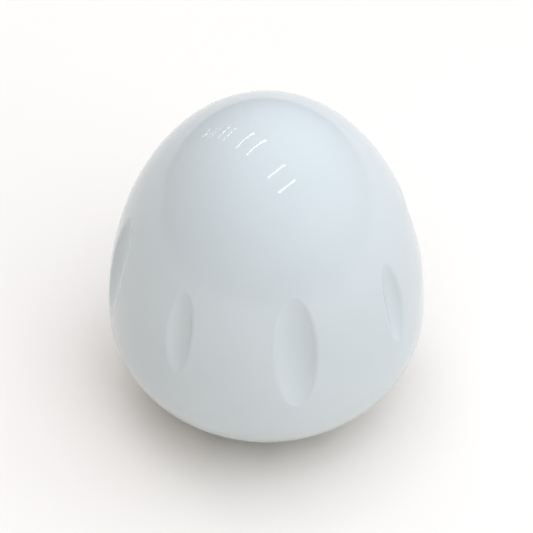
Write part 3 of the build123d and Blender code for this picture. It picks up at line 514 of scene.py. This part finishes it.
def merge(pieces: list[bpy.types.Object], name: str) -> bpy.types.Object:
    """Join pieces into one.

    Args:
        pieces: The pieces.
        name: The joined piece's name.

    Returns:
        The joined piece.
    """
    pick(*pieces)
    bpy.ops.object.join()
    whole = bpy.context.object
    whole.name = name
    whole.data.name = name
    return whole


def dress(piece: bpy.types.Object, finish: Finish, body: str) -> None:
    """Give a new piece its finish and its body.

    Args:
        piece: The piece.
        finish: The finish it gets.
        body: The body it moves with.
    """
    piece.data.materials.clear()
    piece.data.materials.append(bpy.data.materials.get(finish.name) or finish.build())
    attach(piece, body)


# ---------------------------------------------------------------- printed scale

@dataclass
class MinuteScale:
    """The minute scale on the bowl's side, clockwise seen from above, from zero at the back.

    Attributes:
        digit_height: Height of a digit.
        digit_share: Height of the digits' middle up the bowl's side, from foot to rim.
        font_share: A digit's height as a share of its font's size.
        curve_steps: Points on each curve of a digit.
        stroke_cuts: Cuts across each edge of a digit, which let it follow the bowl.
        weld: Distance within which a digit's points are one.
        tick_share: Height of the ticks' upper ends up the bowl's side, from foot to rim.
        long_tick: Length of a numbered minute's tick.
        short_tick: Length of any other tick.
        tick_width: Width of a tick.
        corner: How far the corners of a tick are cut back. corner_steps rounds them.
        ink_thickness: How far the ink stands out.
        minutes: Minutes in a full turn.
        minutes_per_number: Minutes from one number to the next.
    """

    digit_height: float = 3.3 * MM
    digit_share: float = 0.42
    font_share: float = 0.7
    curve_steps: int = 4
    stroke_cuts: int = 3
    weld: float = 0.001 * MM
    tick_share: float = 0.86
    long_tick: float = 1.9 * MM
    short_tick: float = 1.2 * MM
    tick_width: float = 0.28 * MM
    corner: float = 0.07 * MM
    corner_steps: int = 2
    ink_thickness: float = 0.05 * MM
    minutes: int = 60
    minutes_per_number: int = 5

    def __post_init__(self) -> None:
        """Read the bowl's side from the frame."""
        self.bowl = frame["nodes"]["base_bowl"]
        low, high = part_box("base_bowl")
        dome_low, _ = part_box("dome_shell")
        _, ring_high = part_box("foot_ring")
        self.rim = Vector((high.x, 0.0, dome_low.z))
        self.foot = Vector((ring_high.x, 0.0, low.z))
        side = (self.rim - self.foot).normalized()
        self.outward = Vector((side.z, 0.0, -side.x))

    def spot(self, share: float, angle: float) -> tuple[Vector, tuple[float, float, float]]:
        """Where a mark goes on the bowl's side.

        Args:
            share: Height up the side, from 0 at the foot to 1 at the rim.
            angle: Angle clockwise from the back, seen from above, in radians.

        Returns:
            The point just outside the side, and the turn that lays a flat mark on it.
        """
        point = self.foot.lerp(self.rim, share) + self.outward * MM
        tilt = Vector((0.0, 0.0, 1.0)).angle(self.outward)
        bearing = tau / 4 - angle
        turned = Vector((point.x * cos(bearing), point.x * sin(bearing), point.z))
        return turned, (tilt, 0.0, bearing + tau / 4)

    def number(self, minute: int) -> bpy.types.Object:
        """Make one number, cut finely enough to follow the bowl.

        Args:
            minute: The number.

        Returns:
            The number as a flat mesh, in place.
        """
        point, turn = self.spot(self.digit_share, minute / self.minutes * tau)
        size = self.digit_height / self.font_share
        clear_selection()
        bpy.ops.object.text_add(radius=size, location=point, rotation=turn)
        text = bpy.context.object
        text.data.body = str(minute)
        text.data.align_x = "CENTER"
        text.data.align_y = "CENTER"
        text.data.resolution_u = self.curve_steps
        bpy.ops.object.convert(target="MESH")
        number = bpy.context.object
        apply_place(number)
        bpy.ops.object.mode_set(mode="EDIT")
        bpy.ops.mesh.select_all(action="SELECT")
        bpy.ops.mesh.remove_doubles(threshold=self.weld)
        bpy.ops.mesh.quads_convert_to_tris()
        bpy.ops.mesh.subdivide(number_cuts=self.stroke_cuts)
        bpy.ops.object.mode_set(mode="OBJECT")
        return number

    def tick(self, minute: int) -> bpy.types.Object:
        """Make one tick: a flat strip with rounded corners.

        Args:
            minute: The minute it marks.

        Returns:
            The tick, in place.
        """
        length = self.long_tick if minute % self.minutes_per_number == 0 else self.short_tick
        middle = self.tick_share - length / 2 / (self.rim - self.foot).length
        point, turn = self.spot(middle, minute / self.minutes * tau)
        clear_selection()
        bpy.ops.mesh.primitive_plane_add(size=1.0, location=point, rotation=turn)
        strip = bpy.context.object
        strip.scale = (self.tick_width, length, 1.0)
        apply_place(strip)
        bpy.ops.object.mode_set(mode="EDIT")
        bpy.ops.mesh.select_all(action="SELECT")
        bpy.ops.mesh.bevel(offset=self.corner, segments=self.corner_steps, affect="VERTICES")
        bpy.ops.object.mode_set(mode="OBJECT")
        return strip

    def lay(self, marks: list[bpy.types.Object], name: str) -> None:
        """Join flat marks, print them on the bowl and dress them.

        Args:
            marks: The marks.
            name: The joined piece's name.
        """
        whole = merge(marks, name)
        print_on(whole, self.ink_thickness, target=self.bowl, wrap_method="NEAREST_SURFACEPOINT")
        dress(whole, DIAL_INK, "case")
        LOG.info("%s: %d marks", name, len(marks))

    def build(self) -> None:
        """Print the numbers and the ticks."""
        numbered = range(0, self.minutes, self.minutes_per_number)
        self.lay([self.number(minute) for minute in numbered], "scale_numbers")
        self.lay([self.tick(minute) for minute in range(self.minutes)], "scale_ticks")


@dataclass
class ZeroMark:
    """The small triangle above the dome's lip, over the scale's zero once the time has run out.

    Attributes:
        width: Diameter of the circle through the triangle's corners.
        lift: Height of that circle's middle above the lip.
        corner: How far the corners are cut back. corner_steps rounds them.
        cuts: Cuts across each edge, which let the triangle follow the dome.
        ink_thickness: How far the ink stands out.
    """

    width: float = 2.6 * MM
    lift: float = 2.6 * MM
    corner: float = 0.26 * MM
    corner_steps: int = 4
    cuts: int = 2
    ink_thickness: float = 0.04 * MM

    def build(self) -> None:
        """Make the triangle with rounded corners and print it on the dome."""
        low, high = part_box("dome_shell")
        clear_selection()
        bpy.ops.mesh.primitive_circle_add(
            vertices=3, radius=self.width / 2, fill_type="NGON",
            location=(0.0, high.y + MM, low.z + self.lift),
            rotation=(radians(90), radians(180), 0.0))
        mark = bpy.context.object
        mark.name = "zero_mark"
        apply_place(mark)
        bpy.ops.object.mode_set(mode="EDIT")
        bpy.ops.mesh.select_all(action="SELECT")
        bpy.ops.mesh.bevel(offset=self.corner, segments=self.corner_steps, affect="VERTICES")
        bpy.ops.mesh.select_all(action="SELECT")
        bpy.ops.mesh.poke()
        bpy.ops.mesh.subdivide(number_cuts=self.cuts)
        bpy.ops.object.mode_set(mode="OBJECT")
        print_on(mark, self.ink_thickness, target=frame["nodes"]["dome_shell"],
                 wrap_method="PROJECT", use_project_y=True,
                 use_negative_direction=True, use_positive_direction=True)
        dress(mark, MARK_INK, "dome")
        LOG.info("zero_mark: %.1f mm wide", self.width / MM)


# ---------------------------------------------------------------- frame finishes

@dataclass
class FrameDressing:
    """Puts the finishes on the nodes that stand in the frame."""

    finishes: tuple[Finish, ...] = SLOT_FINISHES

    def build(self) -> None:
        """Replace each node's material by the finish of its slot."""
        made = {finish.name: finish.build() for finish in self.finishes}
        slots = {part["node"]: part["material_slot"] for part in frame["record"]["subparts"]}
        for name, node in frame["nodes"].items():
            node.data.materials.clear()
            node.data.materials.append(made[slots[name]])
            LOG.info("%s: %s", name, slots[name])


# ---------------------------------------------------------------- studio

@dataclass(frozen=True)
class Lamp:
    """One area light.

    Attributes:
        name: The light's name.
        place: Where its middle is.
        length: Its size along its own X.
        width: Its size along its own Y.
        power: Its power in watts.
        colour: Its colour.
    """

    name: str
    place: tuple[float, float, float]
    length: float
    width: float
    power: float
    colour: Colour = (1.0, 1.0, 1.0)

    def build(self) -> bpy.types.Object:
        """Add the light, facing straight down.

        Returns:
            The light.
        """
        data = bpy.data.lights.new(self.name, "AREA")
        data.shape = "RECTANGLE"
        data.size = self.length
        data.size_y = self.width
        data.energy = self.power
        data.color = self.colour
        lamp = bpy.data.objects.new(self.name, data)
        lamp.location = self.place
        bpy.context.scene.collection.objects.link(lamp)
        LOG.info("%s: %.2f W", self.name, self.power)
        return lamp

    def face(self, aim: Vector) -> None:
        """Add the light as a softbox that no glossy surface mirrors.

        Args:
            aim: The point it is turned towards.
        """
        lamp = self.build()
        lamp.rotation_euler = (aim - Vector(self.place)).to_track_quat("-Z", "Y").to_euler()
        lamp.visible_glossy = False

    def hang(self, turn: float) -> None:
        """Add the light, facing down and turned about the vertical by an angle in radians."""
        self.build().rotation_euler = (0.0, 0.0, turn)


OVERHEAD_SOFTBOX = Lamp(
    "overhead_softbox", place=(0.35, -0.1, 1.7), length=3.0, width=2.6, power=29.0,
    colour=(0.885, 0.91, 1.0))
RIGHT_SOFTBOX = Lamp(
    "right_softbox", place=(1.6, -1.5, 1.1), length=1.2, width=1.0, power=5.0,
    colour=(1.0, 0.99, 0.97))


@dataclass
class CeilingLights:
    """A row of fittings on the ceiling, each with two tubes across the row.

    Attributes:
        first: Where the first fitting is, seen from above.
        pitch: The step from one fitting to the next.
        fittings: How many there are.
        ceiling: Height of the ceiling.
        tube_gap: Distance between a fitting's tubes.
        tube_length: Length of a tube.
        tube_width: Width of a tube.
        tube_power: Power of a tube in watts.
    """

    first: tuple[float, float] = (0.42, -0.47)
    pitch: tuple[float, float] = (-0.82, 0.96)
    fittings: int = 5
    ceiling: float = 1.5
    tube_gap: float = 0.45
    tube_length: float = 0.6
    tube_width: float = 0.03
    tube_power: float = 0.8

    def build(self) -> None:
        """Hang both tubes of every fitting."""
        step = Vector(self.pitch)
        turn = Vector((1.0, 0.0)).angle_signed(step.orthogonal())
        offset = step.normalized() * self.tube_gap / 2
        for fitting in range(self.fittings):
            middle = Vector(self.first) + step * fitting
            for tube, place in (("a", middle - offset), ("b", middle + offset)):
                lamp = Lamp(f"ceiling_tube_{fitting + 1}{tube}", (*place, self.ceiling),
                            self.tube_length, self.tube_width, self.tube_power)
                lamp.hang(-turn)


@dataclass
class Room:
    """The soft light of the room: bright on one side and overhead, dim and warm on the other.

    Attributes:
        bright: Colour of the bright side.
        dim: Colour of the dim side.
        bright_side: The direction of the bright side.
        start: Cosine of the angle from the bright side past which all is dim.
        end: Cosine of the angle within which all is bright.
        strength: Strength of the whole.
    """

    bright: Colour = (0.88, 0.935, 1.0)
    dim: Colour = (0.36, 0.29, 0.23)
    bright_side: tuple[float, float, float] = (0.40, -0.12, 0.909)
    start: float = -0.10
    end: float = 0.90
    strength: float = 0.8

    def build(self) -> None:
        """Wire the world's background."""
        world = bpy.data.worlds.new("room")
        world.use_nodes = True
        bpy.context.scene.world = world
        nodes, links = world.node_tree.nodes, world.node_tree.links
        background = nodes["Background"]
        background.inputs["Strength"].default_value = self.strength
        toward = nodes.new("ShaderNodeVectorMath")
        toward.operation = "DOT_PRODUCT"
        toward.inputs[1].default_value = self.bright_side
        links.new(nodes.new("ShaderNodeTexCoord").outputs["Generated"], toward.inputs[0])
        share = nodes.new("ShaderNodeMapRange")
        share.interpolation_type = "SMOOTHSTEP"
        share.inputs["From Min"].default_value = self.start
        share.inputs["From Max"].default_value = self.end
        links.new(toward.outputs["Value"], share.inputs["Value"])
        tone = nodes.new("ShaderNodeMix")
        tone.data_type = "RGBA"
        tone.inputs["A"].default_value = (*self.dim, 1.0)
        tone.inputs["B"].default_value = (*self.bright, 1.0)
        links.new(share.outputs["Result"], tone.inputs["Factor"])
        links.new(tone.outputs["Result"], background.inputs["Color"])


@dataclass
class Studio:
    """Floor, lights and camera, set out from a point part of the way up the object.

    Attributes:
        floor_size: Side of the square floor.
        floor_gap: Gap that keeps the floor and the foot out of one plane.
        elevation: Angle of the camera above the horizon, in degrees.
        distance: Distance from the camera to the point it looks at.
        aim_share: Height of that point as a share of the object's height.
        lens: Focal length, in millimetres.
    """

    floor_size: float = 6.0
    floor_gap: float = 0.02 * MM
    elevation: float = 46.0
    distance: float = 0.496
    aim_share: float = 0.4548
    lens: float = 172.4

    def __post_init__(self) -> None:
        """Find the point the camera and the lights look at."""
        height = CAD_HIGH.z - CAD_LOW.z
        self.aim = Vector((0.0, 0.0, CAD_LOW.z + self.aim_share * height))

    def build_floor(self) -> None:
        """Lay the pale floor a hair under the foot."""
        level = CAD_LOW.z - self.floor_gap
        clear_selection()
        bpy.ops.mesh.primitive_plane_add(size=self.floor_size, location=(0.0, 0.0, level))
        floor = bpy.context.object
        floor.name = "studio_floor"
        apply_place(floor)
        floor.data.materials.append(FLOOR_PAINT.build())
        LOG.info("studio_floor: %.1f m", self.floor_size)

    def build_lights(self) -> None:
        """Set up the room's light, the softboxes and the ceiling lights."""
        Room().build()
        OVERHEAD_SOFTBOX.face(self.aim)
        RIGHT_SOFTBOX.face(self.aim)
        CeilingLights().build()

    def build_camera(self) -> None:
        """Set the camera at its viewing angle."""
        data = bpy.data.cameras.new("camera")
        data.lens = self.lens
        data.dof.use_dof = False
        camera = bpy.data.objects.new("camera", data)
        back = Vector((0.0, -cos(radians(self.elevation)), sin(radians(self.elevation))))
        camera.location = self.aim + back * self.distance
        camera.rotation_euler = (-back).to_track_quat("-Z", "Y").to_euler()
        bpy.context.scene.collection.objects.link(camera)
        bpy.context.scene.camera = camera

    def build(self) -> None:
        """Set up the whole studio."""
        bpy.context.scene.view_settings.view_transform = "Standard"
        self.build_camera()
        self.build_floor()
        self.build_lights()


def main() -> None:
    """Build the studio, the finishes and the printed marks in order."""
    logging.basicConfig(level=logging.INFO, format="%(name)s %(message)s")
    Studio().build()
    FrameDressing().build()
    MinuteScale().build()
    ZeroMark().build()


if __name__ == "__main__":
    main()
